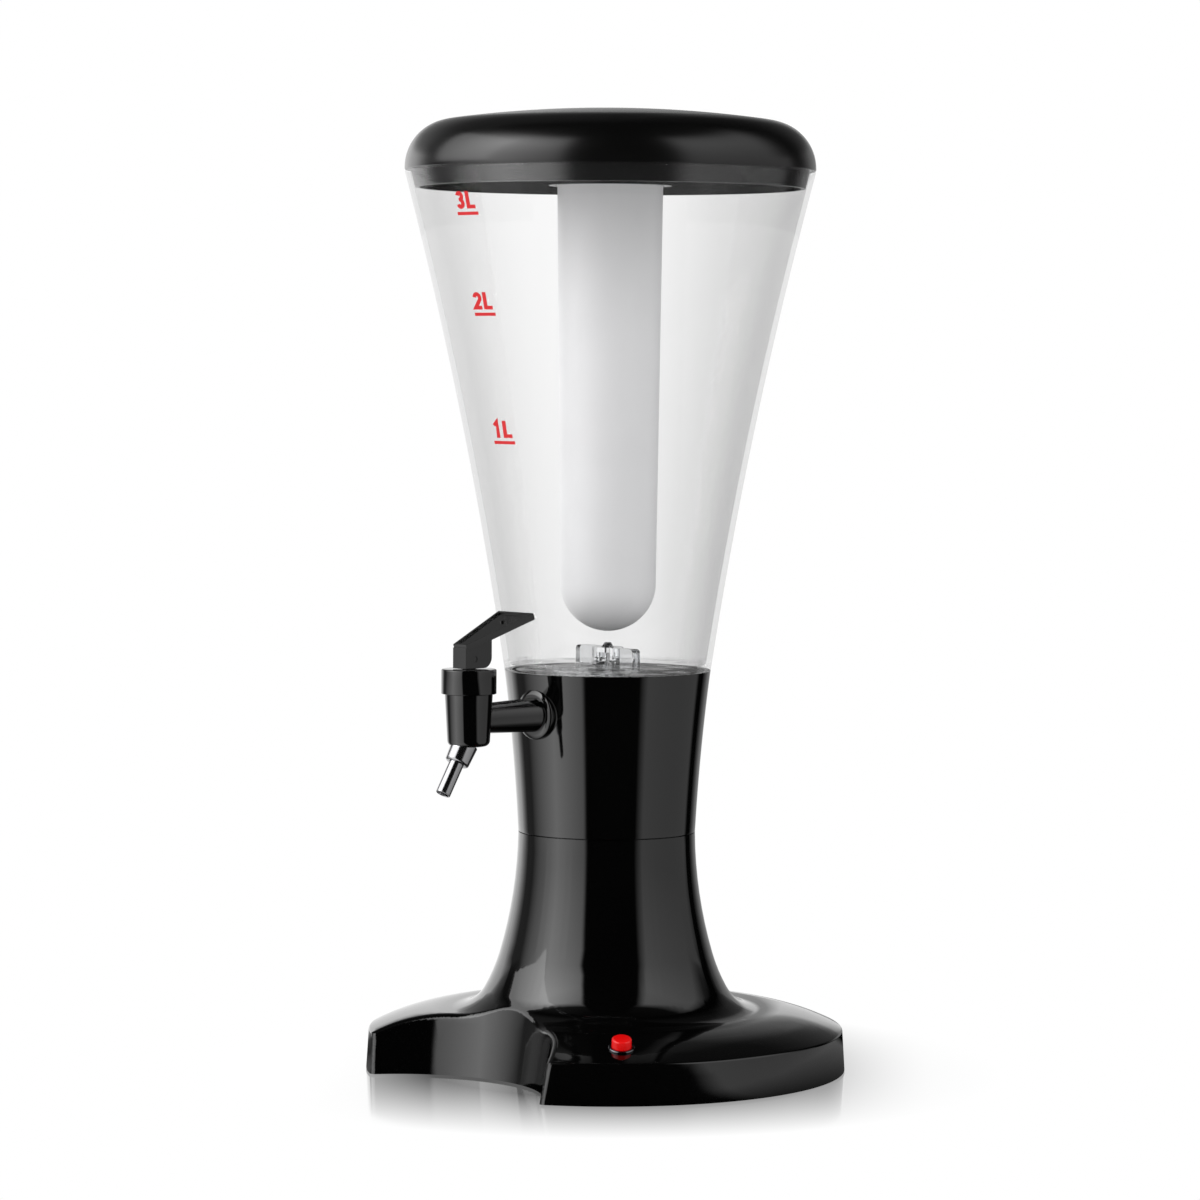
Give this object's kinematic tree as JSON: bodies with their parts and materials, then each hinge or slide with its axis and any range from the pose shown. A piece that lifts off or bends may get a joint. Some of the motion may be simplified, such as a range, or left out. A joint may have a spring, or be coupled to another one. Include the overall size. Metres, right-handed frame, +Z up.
{
  "type": "beer tower dispenser",
  "caption": "Drink tower: clear trumpet-shaped vessel with a frosted ice tube, domed lid, lever tap with chrome spout and wide round black base with a glass notch and light switch.",
  "frame": {"origin": "on the tower's axis at table level, under the middle of the base", "axes": "+Z up along the tower; the tap and the glass notch face -Y; the light switch is on the +X side of the notch"},
  "size_m": [0.2286, 0.2231, 0.4565],
  "materials": {
    "base_shell": "high gloss black",
    "base_plate": "moulded matt",
    "rubber_feet": "soft matt",
    "plate_screws": "zinc plated",
    "battery_box": "moulded matt",
    "battery_cells": "plain sleeve",
    "battery_contacts": "nickel plated spring",
    "battery_door": "moulded matt",
    "lamp_cup": "moulded matt",
    "lamp_board": "white solder mask",
    "lamp_bulbs": "clear epoxy",
    "lamp_lens": "frosted",
    "switch_bezel": "polished",
    "switch_body": "moulded matt",
    "switch_button": "glossy red",
    "switch_wire": "red insulation",
    "lamp_wire": "black insulation",
    "neck_shell": "high gloss black",
    "vessel": "clear, polished",
    "drain_fitting": "clear",
    "drain_seal": "grey, soft",
    "drain_nut": "moulded matt",
    "drain_hose": "milky, flexible",
    "tap_body": "high gloss black",
    "tap_flange": "high gloss black",
    "tap_washer": "soft matt",
    "tap_nut": "moulded matt",
    "nozzle_tube": "polished",
    "nozzle_sleeve": "polished",
    "tap_cap": "high gloss black",
    "tap_rod": "moulded",
    "seat_cup": "soft, translucent grey",
    "lever_pin": "smooth black",
    "tap_lever": "high gloss black",
    "lid_shell": "satin black",
    "lid_insert": "satin black",
    "ice_tube": "frosted, milky white",
    "tube_seal": "grey, soft"
  },
  "bodies": {
    "base": {"base_shell": "base_shell", "base_plate": "base_plate", "rubber_feet": "rubber_feet", "plate_screws": "plate_screws", "battery_box": "battery_box", "battery_cells": "battery_cells", "battery_contacts": "battery_contacts", "lamp_cup": "lamp_cup", "lamp_board": "lamp_board", "lamp_bulbs": "lamp_bulbs", "lamp_lens": "lamp_lens", "switch_bezel": "switch_bezel", "switch_body": "switch_body", "switch_wire": "switch_wire", "lamp_wire": "lamp_wire"},
    "battery_door": {"battery_door": "battery_door"},
    "switch_button": {"switch_button": "switch_button"},
    "tower": {"neck_shell": "neck_shell", "vessel": "vessel", "drain_fitting": "drain_fitting", "drain_seal": "drain_seal", "drain_nut": "drain_nut", "drain_hose": "drain_hose", "tap_body": "tap_body", "tap_flange": "tap_flange", "tap_washer": "tap_washer", "tap_nut": "tap_nut", "nozzle_tube": "nozzle_tube", "nozzle_sleeve": "nozzle_sleeve", "tap_cap": "tap_cap"},
    "tap_stem": {"tap_rod": "tap_rod", "seat_cup": "seat_cup", "lever_pin": "lever_pin"},
    "tap_lever": {"tap_lever": "tap_lever"},
    "lid": {"lid_shell": "lid_shell", "lid_insert": "lid_insert"},
    "ice_tube": {"ice_tube": "ice_tube", "tube_seal": "tube_seal"}
  },
  "joints": [
    {"name": "battery_door_slide", "type": "slide", "parent": "base", "child": "battery_door", "axis": [1, 0, 0], "range_m": [0, 0.012]},
    {"name": "switch_press", "type": "slide", "parent": "base", "child": "switch_button", "axis": [-0.2285, 0.1938, -0.9541], "range_m": [0, 0.002], "stiffness_N_per_m": 400, "springref_m": -0.001},
    {"name": "tower_lift", "type": "slide", "parent": "base", "child": "tower", "axis": [0, 0, 1], "range_m": [0, 0.1]},
    {"name": "stem_lift", "type": "slide", "parent": "tower", "child": "tap_stem", "axis": [0, 0, 1], "range_m": [0, 0.00235], "deforming": ["seat_cup"]},
    {"name": "lever_press", "type": "hinge", "parent": "tap_stem", "child": "tap_lever", "pos_m": [0, -0.0898, 0.2001], "axis": [-1, 0, 0], "range_deg": [0, 25], "stiffness_Nm_per_rad": 0.05, "springref_deg": -11.46},
    {"name": "lid_lift", "type": "slide", "parent": "tower", "child": "lid", "axis": [0, 0, 1], "range_m": [0, 0.24]},
    {"name": "ice_tube_twist", "type": "hinge", "parent": "lid", "child": "ice_tube", "pos_m": [0, 0, 0.42], "axis": [0, 0, 1], "range_deg": [-60, 0]}
  ],
  "couplings": [
    {"joint": "lever_press", "follows": "stem_lift", "rad_per_m": 185}
  ]
}
